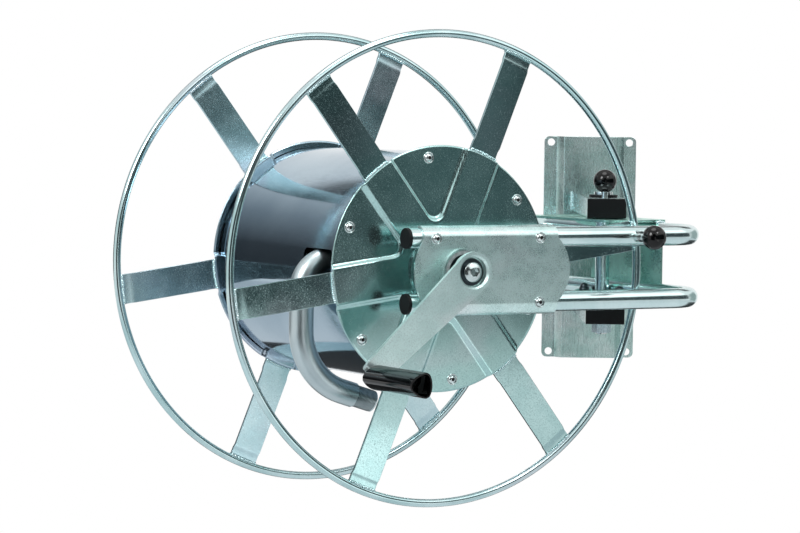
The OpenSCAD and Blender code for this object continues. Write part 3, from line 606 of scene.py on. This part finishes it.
# %% Rings and discs
for side, forward in WHEELS.items():
    made = skin(side + "_ring", [ring_row(a, forward) for a in full_turn(RING_STEPS)], RING_SHARP)
    made += skin(side + "_disc", [disc_row(a, forward) for a in full_turn(DISC_STEPS)], DISC_SHARP)
    print(side, "wheel faces:", made)

# %% [markdown]
# ## Small shapes that repeat
#
# Welds, screw seats and nuts repeat many times, and Geometry Nodes can set
# them wherever they are wanted. Each tree has named inputs, so one tree
# serves several bodies. Its end is always the same: the instances are made
# real, shaded smooth and given their finish.


# %% A tree with named inputs
def geometry_tree(name, inputs):
    """A Geometry Nodes tree with named inputs: its net, its group input and a way to end it."""
    tree = bpy.data.node_groups.new(name, "GeometryNodeTree")
    tree.interface.new_socket("Geometry", in_out="INPUT", socket_type="NodeSocketGeometry")
    for label, kind in inputs:
        tree.interface.new_socket(label, in_out="INPUT", socket_type="NodeSocket" + kind)
    tree.interface.new_socket("Geometry", in_out="OUTPUT", socket_type="NodeSocketGeometry")
    net = Net(tree, "")
    start = tree.nodes.new("NodeGroupInput")
    given = {label: Value(net, start.outputs[label]) for label in ["Geometry"] + [i[0] for i in inputs]}

    def end(shape):
        whole = net.node("GeometryNodeRealizeInstances", None, {"Geometry": shape})
        round_off = net.node("GeometryNodeSetShadeSmooth", None, {"Geometry": whole})
        painted = net.node("GeometryNodeSetMaterial", None,
                           {"Geometry": round_off, "Material": given["Finish"]})
        net.node("NodeGroupOutput", None, {"Geometry": painted})
        return tree

    return net, given, end


print("Every tree ends in Realize Instances, Set Shade Smooth and Set Material")

# %% [markdown]
# ## Guides
#
# A tree needs something to grow on. A guide is a mesh that is nothing but
# points, or points joined by loose edges, placed where the real welds and
# screws are. What has grown on it is kept as a plain mesh and rides on a
# body, and the guide is thrown away.


# %% Guides and what grows on them
def guide_of(lines):
    """One mesh of the points of every line, with loose edges along the lines."""
    points, edges = [], []
    for line in lines:
        edges += [(len(points) + k, len(points) + k + 1) for k in range(len(line) - 1)]
        points += line
    mesh = bpy.data.meshes.new("guide")
    mesh.from_pydata(points, edges, [])
    return mesh


def grown(name, guide, tree, values, body, slot):
    """Run a tree on a guide mesh, keep the result as a plain mesh and let it ride."""
    source = bpy.data.objects.new(name + "_guide", guide)
    bpy.context.collection.objects.link(source)
    modifier = source.modifiers.new("grow", "NODES")
    modifier.node_group = tree
    for socket in tree.interface.items_tree:
        if socket.in_out == "INPUT" and socket.name in values:
            modifier[socket.identifier] = values[socket.name]
    piece = to_mesh(source, name)
    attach(piece, body)
    print(piece.name, len(piece.data.polygons), "faces")
    return piece


print("Helpers ready: guide_of and grown")

# %% [markdown]
# ## Weld beads
#
# A weld is a row of small drops, each frozen over the last. The tree walks
# along every edge of its guide, sets a flattened drop at even steps and
# gives each a slightly different size and place from a fixed seed.

# %% Tree of a weld
WANDER = 0.0002
FLATTEST, FULLEST = (0.85, 0.85, 0.55), (1.2, 1.2, 0.8)
net, given, end = geometry_tree("weld_beads", [("Spacing", "Float"), ("Bead Radius", "Float"),
                                               ("Seed", "Int"), ("Finish", "Material")])
path = net.node("GeometryNodeMeshToCurve", None, {"Mesh": given["Geometry"]})
walk = net.node("GeometryNodeCurveToPoints", {"mode": "LENGTH"}, {"Curve": path, "Length": given["Spacing"]})
turned = Value(net, walk.socket.node.outputs["Rotation"])
wander = net.node("FunctionNodeRandomValue", {"data_type": "FLOAT_VECTOR"},
                  {0: (-WANDER,) * 3, 1: (WANDER,) * 3, "Seed": given["Seed"]})
walk = net.node("GeometryNodeSetPosition", None, {"Geometry": walk, "Offset": wander})
drop = net.node("GeometryNodeMeshUVSphere", None, {"Segments": 8, "Rings": 6, "Radius": given["Bead Radius"]})
size = net.node("FunctionNodeRandomValue", {"data_type": "FLOAT_VECTOR"},
                {0: FLATTEST, 1: FULLEST, "Seed": given["Seed"]})
weld_tree = end(net.node("GeometryNodeInstanceOnPoints", None,
                         {"Points": walk, "Instance": drop, "Rotation": turned, "Scale": size}))
print("Weld tree nodes:", len(weld_tree.nodes))

# %% [markdown]
# ## Where the welds run
#
# The photograph shows beads where each spoke meets its ring and its disc,
# where the bent tubes meet the swivel bracket, and where the arms meet the
# wall plate's web. Three functions draw these lines: an arc on a wheel, an
# arc round a tube, and an upright seam beside an arm.

# %% Lines where parts meet
TUBE_HEIGHT, TUBE_RUN, TUBE_SKIN = 0.03925, 0.359, 0.0131
ARM_SIDE, WEB_FACE = 0.0257, -0.0168
GUIDE_STEPS = 8


def arc_on_wheel(radius, angle, half, forward):
    """Points of an arc round the axle, centred on an angle."""
    turns = [angle + half / radius * (2 * k / GUIDE_STEPS - 1) for k in range(GUIDE_STEPS + 1)]
    return [on_reel(radius * math.cos(t), radius * math.sin(t), forward) for t in turns]


def arc_on_tube(side, forward, start=-35, stop=112):
    """Points round a tube's base run at one place, from its outer side away from the other tube."""
    turns = [math.radians(start + (stop - start) * k / GUIDE_STEPS) for k in range(GUIDE_STEPS + 1)]
    return [on_reel(TUBE_RUN + TUBE_SKIN * math.cos(t),
                    side * (TUBE_HEIGHT + TUBE_SKIN * math.sin(t)), forward) for t in turns]


def beside_arm(side, low, high):
    """The upright seam where one side of an arm meets the wall plate's web."""
    return [Vector((side * ARM_SIDE, WEB_FACE, z + PIVOT.z)) for z in (low, high)]


print("Points in a guide line:", GUIDE_STEPS + 1, "or 2")

# %% [markdown]
# ## The welds of each body
#
# Each spoke has a seam on both sides at the ring and one at the disc. The
# guides of one body are put together in one mesh, and each body has a seed
# of its own, so no two welds look alike.

# %% Welds
SPOKE_END, DISC_EDGE, SPOKE_FACE = 0.2803, 0.1508, 0.0028
END_HALF, EDGE_HALF = 0.0175, 0.0178
BRACKET_FACES, ARM_WELDS = (0.0999, -0.0949), ((0.0563, 0.0803), (-0.0803, -0.0563))
drum_welds = []
for forward in WHEELS.values():
    for angle in SPOKE_ANGLES:
        for face in (SPOKE_FACE, -SPOKE_FACE):
            drum_welds.append(arc_on_wheel(SPOKE_END, angle, END_HALF, forward + face))
        drum_welds.append(arc_on_wheel(DISC_EDGE, angle, EDGE_HALF, forward + SPOKE_FACE))
frame_welds = [arc_on_tube(side, forward) for side in (1, -1) for forward in BRACKET_FACES]
arm_welds = [beside_arm(side, low, high) for side in (-1, 1) for low, high in ARM_WELDS]
# Guide lines, spacing and radius of the drops.
WELDS = {"drum": (drum_welds, 0.0023, 0.0022), "swivel_frame": (frame_welds, 0.0023, 0.0024),
         "wall_bracket": (arm_welds, 0.0021, 0.002)}
for seed, (body, (lines, spacing, radius)) in enumerate(WELDS.items()):
    values = {"Spacing": spacing, "Bead Radius": radius, "Seed": seed, "Finish": finishes["zinc_rod"]}
    grown(body + "_welds", guide_of(lines), weld_tree, values, body, "zinc_bright")

# %% [markdown]
# ## One shape on every point
#
# Screw seats, the dark hexagons of painted shade in the screw sockets,
# and cap nuts are each one small shape that stands on several points,
# turned the same way. So one helper makes the tree, and a function for
# each kind draws the shape.


# %% Trees that set one shape on each point
def on_points(name, make_one):
    """A tree that sets one small shape on every guide point, turned the same way."""
    net, given, end = geometry_tree(name, [("Radius", "Float"), ("Thickness", "Float"),
                                           ("Turn", "Vector"), ("Finish", "Material")])
    return end(net.node("GeometryNodeInstanceOnPoints", None,
                        {"Points": given["Geometry"], "Instance": make_one(net, given),
                         "Rotation": given["Turn"]}))


def circle(net, points, radius):
    return net.node("GeometryNodeCurvePrimitiveCircle", None, {"Resolution": points, "Radius": radius})


def hexagon(net, given):
    return net.node("GeometryNodeMeshCylinder", None,
                    {"Vertices": 6, "Radius": given["Radius"], "Depth": given["Thickness"]})


def seat_ring(net, given):
    """A wire bent round the screw's head."""
    return net.node("GeometryNodeCurveToMesh", None, {"Curve": circle(net, 36, given["Radius"]),
                                                      "Profile Curve": circle(net, 10, given["Thickness"])})


print("Shapes for points: a ring and a hexagon")

# %% [markdown]
# ## Screw seats and sockets
#
# Each button screw sits in a bright raised seat, and a black hexagon in
# its socket is painted shade in the recess. Twelve screws sit in the lands
# of the two discs, and eight hold the two bearing plates on the tubes. All
# of them look along the axle.

# %% Seats and sockets
SCREW_LAND, SCREW_PLATE, PLATE_SCREWS_AT = 0.136, 0.2111, (-0.0365, 0.109)
screws = {"drum": [], "swivel_frame": []}
for angle in SPOKE_ANGLES:
    across, up = SCREW_LAND * math.cos(angle + TWELFTH), SCREW_LAND * math.sin(angle + TWELFTH)
    for forward in WHEELS.values():
        side = 1 if forward > 0 else -1
        screws["drum"].append((across, up, forward if side > 0 else forward - SHEET, side))
for across in PLATE_SCREWS_AT:
    for up in (-TUBE_HEIGHT, TUBE_HEIGHT):
        screws["swivel_frame"] += [(across, up, side * SCREW_PLATE, side) for side in (1, -1)]
# Tree, height over the sheet, radius, thickness and slot.
SCREW_PARTS = {
    "seats": (on_points("screw_seats", seat_ring), 0.0003, 0.0063, 0.0008, "fastener_steel"),
    # The black hexagons in the sockets are painted shade in the recesses.
    "sockets": (on_points("screw_socket_painted_shade", hexagon), 0.0021, 0.00225, 0.0017, "black_plastic"),
}
along_axle = FORWARD.to_track_quat("Z", "Y").to_euler()[:]
for body, places in screws.items():
    for part, (tree, lift, radius, thickness, slot) in SCREW_PARTS.items():
        points = [on_reel(across, up, forward + side * lift) for across, up, forward, side in places]
        values = {"Radius": radius, "Thickness": thickness, "Finish": finishes[slot], "Turn": along_axle}
        grown(body + "_screw_" + part, guide_of([[point] for point in points]), tree, values, body, slot)

# %% [markdown]
# ## Cap nuts
#
# The two screws that stand in the lower flange of the swivel bracket end in
# cap nuts, a hexagon with a dome over the screw's end. A cylinder of six
# sides and a ball that is sunk into it are enough, since the joint between
# them is hidden.

# %% Cap nuts on the bracket
BRACKET_NUTS = [(0.02035, -0.3027, -0.0462), (-0.02035, -0.2293, -0.0462)]
DOME_RADIUS, DOME_LIFT = 0.0059, 0.0034


def cap_nut(net, given):
    """A hexagon with a dome on top, standing on its guide point."""
    dome = net.node("GeometryNodeMeshUVSphere", None, {"Segments": 20, "Rings": 12, "Radius": DOME_RADIUS})
    raised = net.node("GeometryNodeTransform", None, {"Geometry": dome, "Translation": (0, 0, DOME_LIFT)})
    return net.node("GeometryNodeJoinGeometry", None, {"Geometry": [hexagon(net, given), raised]})


values = {"Radius": 0.0074, "Thickness": 0.0062, "Turn": (0.0, 0.0, 0.4), "Finish": finishes["dark_steel"]}
grown("bracket_cap_nuts", guide_of([[place] for place in BRACKET_NUTS]), on_points("cap_nuts", cap_nut),
      values, "swivel_frame", "dark_steel")

# %% [markdown]
# ## The outlet's thread
#
# The outlet pipe ends in a 3/4 inch pipe thread, which has 14 turns to the
# inch. A thin ridge that climbs round the pipe along a spiral shows it. The
# spiral stands upright on one guide point, and the finished mesh is then
# laid along the last straight run of the pipe.

# %% Thread ridge
net, given, end = geometry_tree("pipe_thread", [("Turns", "Float"), ("Radius", "Float"), ("Length", "Float"),
                                                ("Ridge", "Float"), ("Finish", "Material")])
helix = net.node("GeometryNodeCurveSpiral", None,
                 {"Resolution": 48, "Rotations": given["Turns"], "Start Radius": given["Radius"],
                  "End Radius": given["Radius"], "Height": given["Length"]})
ridge = circle(net, 6, given["Ridge"])
thread_tree = end(net.node("GeometryNodeCurveToMesh", None,
                           {"Curve": helix, "Profile Curve": ridge, "Fill Caps": True}))
values = {"Turns": 14.0, "Radius": 0.01275, "Length": 0.0254, "Ridge": 0.00075,
          "Finish": finishes["dark_steel"]}
thread = grown("outlet_thread_ridge", guide_of([[(0, 0, 0)]]), thread_tree, values, "drum", "dark_steel")

# %% [markdown]
# ## Lay the thread on the pipe
#
# The pipe leaves its last bend 17.7 degrees below the level. The middle and
# the radius of that bend give the place where the straight run starts, and
# the thread takes up the end of it.

# %% Move the thread to its place
DIP = math.radians(17.7)
BEND_MIDDLE, BEND_RADIUS = Vector((-0.079, -0.074)), 0.08
LAST_RUN, THREAD_BACK, PIPE_FORWARD = 0.045, 0.0272, 0.1
heading = Vector((math.cos(DIP), -math.sin(DIP)))
bend_end = BEND_MIDDLE - BEND_RADIUS * Vector((math.sin(DIP), math.cos(DIP)))
start = bend_end + heading * (LAST_RUN - THREAD_BACK)
along = ACROSS * heading.x + UP * heading.y
turn = along.to_track_quat("Z", "Y").to_matrix().to_4x4()
turn.translation = on_reel(start.x, start.y, PIPE_FORWARD)
thread.data.transform(turn)
print("Thread starts at", [round(x, 4) for x in turn.translation])

# %% [markdown]
# ## White world
#
# The photograph is a cut-out on white. So the world is white to the camera,
# to reflections and through glass, and a little softer and bluer as a light,
# which keeps some shadow in the hollows.

# %% World
world = bpy.data.worlds.new("studio")
bpy.context.scene.world = world
world.use_nodes = True
net = Net(world.node_tree)
seen = net.node("LightPath", output="Is Camera Ray")
seen = seen.maths("MAXIMUM", seen, net.node("LightPath", output="Is Glossy Ray"))
seen = seen.maths("MAXIMUM", seen, net.node("LightPath", output="Is Transmission Ray"))
soft = net.node("Background", None, {"Color": (0.9, 0.95, 1, 1), "Strength": 0.75})
white = net.node("Background", None, {"Color": (1, 1, 1, 1), "Strength": 1.0})
net.node("OutputWorld", None, {"Surface": net.node("MixShader", None, {0: seen, 1: soft, 2: white})})
print("World nodes:", len(world.node_tree.nodes))

# %% [markdown]
# ## A flat panel and the floor
#
# The stage is made of flat panels, painted in matt colours that drift a
# little, as they do on real card. The first one is the floor, far enough
# below the reel to stay out of the photograph's view.

# %% Panel and floor
CARD_ROUGH = 0.9


def sheet_of(name, centre, facing, width, height, finish):
    """A flat stage panel at a place, facing a direction."""
    mesh = bpy.data.meshes.new(name)
    turn = Vector(facing).to_track_quat("Z", "Y").to_matrix().to_4x4()
    turn.translation = Vector(centre)
    signs = ((-1, -1), (1, -1), (1, 1), (-1, 1))
    corners = [turn @ Vector((x * width / 2, y * height / 2, 0)) for x, y in signs]
    mesh.from_pydata(corners, [], [(0, 1, 2, 3)])
    mesh.materials.append(finish)
    made = bpy.data.objects.new(name, mesh)
    bpy.context.collection.objects.link(made)
    return made


def painted(name, scale, detail, first, second):
    """Matt paint that drifts between two colours."""
    net, finish = material(name, Roughness=CARD_ROUGH)
    return finish(**{"Base Color": net.blend(net.noise(net.place(), scale, detail), first, second)})


FLOOR_LEVEL, FLOOR_WIDTH = -1.15, 9
floor_paint = painted("floor_paint", 2, 2, (0.86, 0.87, 0.87, 1), (0.9, 0.9, 0.9, 1))
sheet_of("floor", (0, -0.5, FLOOR_LEVEL), (0, 0, 1), FLOOR_WIDTH, FLOOR_WIDTH, floor_paint)
print("Floor at", FLOOR_LEVEL, "m")

# %% [markdown]
# ## Finishes of the cards
#
# A black card only keeps the white out of a reflection. Others glow, some
# nearly evenly, and two by a ramp along one axis, like a wall that is lit
# from one side. A ramp gives a flat part its fall from dark to light.

# %% Card finishes
BLACK, WHITE, ALONG_X, ALONG_Z = (0, 0, 0, 1), (1, 1, 1, 1), 0, 2


def glowing(name, strength, scale, detail, first, second):
    """A lit panel whose colour drifts between two colours."""
    net, finish = material(name, Roughness=CARD_ROUGH, Emission_Strength=strength)
    glow = net.blend(net.noise(net.place(), scale, detail), first, second)
    return finish(**{"Base Color": BLACK, "Emission Color": glow})


def ramped(name, axis, start, length, stops):
    """A panel that glows by a ramp along one world axis."""
    net, finish = material(name, Roughness=CARD_ROUGH, Emission_Strength=1.0)
    place = net.node("SeparateXYZ", None, {"Vector": net.node("TexCoord", output="Object")}, axis)
    glow = net.node("ValToRGB", {"stops": stops}, {"Fac": (place - start) / length})
    return finish(**{"Base Color": BLACK, "Emission Color": glow})


LEFT_STOPS = [(0.0, (0.02, 0.025, 0.03)), (0.3, (0.045, 0.052, 0.06)),
              (0.62, (0.3, 0.33, 0.36)), (1.0, (0.85, 0.88, 0.9))]
RIGHT_STOPS = [(0.12, (0.03, 0.047, 0.05)), (0.3, (0.085, 0.125, 0.13)),
               (0.65, (0.1, 0.15, 0.155)), (1.0, (0.03, 0.045, 0.05))]
card_black = painted("card_black", 3, 3, (0.012, 0.014, 0.015, 1), (0.02, 0.022, 0.024, 1))
card_shaded = ramped("card_shaded", ALONG_Z, -0.4, 2.6, LEFT_STOPS)
card_side = ramped("card_side", ALONG_X, 0.7, 0.2, RIGHT_STOPS)
card_white = glowing("card_white", 1.7, 1.5, 2, (0.9, 0.95, 0.95, 1), WHITE)
card_window = glowing("card_window", 14.0, 3, 3, (0.95, 0.97, 1, 1), WHITE)
card_grey = glowing("card_grey", 0.5, 0.8, 3, (0.5, 0.66, 0.64, 1), (0.9, 1, 1, 1))
print("Card finishes: black, two ramps, white, window and grey")

# %% [markdown]
# ## Cards
#
# Bright zinc only looks like metal when it has something to reflect. The
# discs and spokes look at a dark green ramp in front on the right, and the
# drum at one behind on the left that is dark below and light above. Black
# cards draw dark lines on round parts, a grey one and two light ones lift
# what would be too dark, and two small windows give the ball knobs their
# highlights. Only reflections see the cards.

# %% Cards for the reflections
# Centre, direction it faces, width, height and finish.
CARDS = {
    "card_right": ((0.85, -1.1, 0.165), (-0.85, 0.53, 0), 2.2, 0.67, card_side),
    "card_left": ((-3.0, 1.4, 0.9), (0.85, -0.53, 0), 2.6, 2.6, card_shaded),
    "card_behind": ((-0.2, 1.9, 2.2), (0, -0.7, -0.7), 5, 1.0, card_black),
    "card_below": ((0.45, 2.0, -1.1), (0, 0, 1), 3.2, 3.2, card_black),
    "card_front": ((-0.9, -3.0, -0.1), (0, 1, 0), 1.9, 1.9, card_black),
    "card_high": ((0.1, -2.9, 1.05), (0, 0.95, -0.3), 1.8, 1.3, card_black),
    "card_far_right": ((3.2, 1.9, 0.2), (-0.85, -0.5, 0), 2.6, 2.6, card_grey),
    "card_low": ((0.643, -1.432, -0.47), (-0.85, 0.53, 0), 0.54, 0.32, card_white),
    "window_left": ((-1.45, -1.9, 1.7), (0.53, 0.58, -0.62), 0.75, 0.6, card_window),
    "window_right": ((0.7, -1.4, 1.25), (-0.4, 0.62, -0.6), 0.34, 0.34, card_window),
    "card_light": ((0.95, -1.25, 1.15), (-0.75, 0.47, -0.5), 2.4, 0.8, card_white),
}
for name, (centre, facing, width, height, finish) in CARDS.items():
    card = sheet_of(name, centre, facing, width, height, finish)
    card.visible_camera = card.visible_diffuse = card.visible_shadow = card.visible_transmission = False
print("Cards:", len(CARDS))

# %% [markdown]
# ## Lamps
#
# The white world lights everything softly. A large key lamp in front on the
# left brings out the shape, and a weaker one above lights the upper edges.
# Both are round and aimed at the middle of the axle.

# %% Lamps
# Place, diameter in metres and power in watts.
LAMPS = {"key": ((-2.4, -3.0, 2.2), 1.6, 60), "top": ((-0.2, -0.6, 2.4), 1.4, 18)}
for name, (place, diameter, power) in LAMPS.items():
    data = bpy.data.lights.new(name, "AREA")
    data.shape, data.size, data.energy = "DISK", diameter, power
    lamp = bpy.data.objects.new(name, data)
    lamp.location = place
    lamp.rotation_euler = (AXLE - Vector(place)).to_track_quat("-Z", "Y").to_euler()
    bpy.context.collection.objects.link(lamp)
print("Lamps:", len(LAMPS))

# %% [markdown]
# ## The size of the CAD solids
#
# Nothing that was added may stand out of the box of the CAD solids, because
# their sizes are what a user of the part relies on.
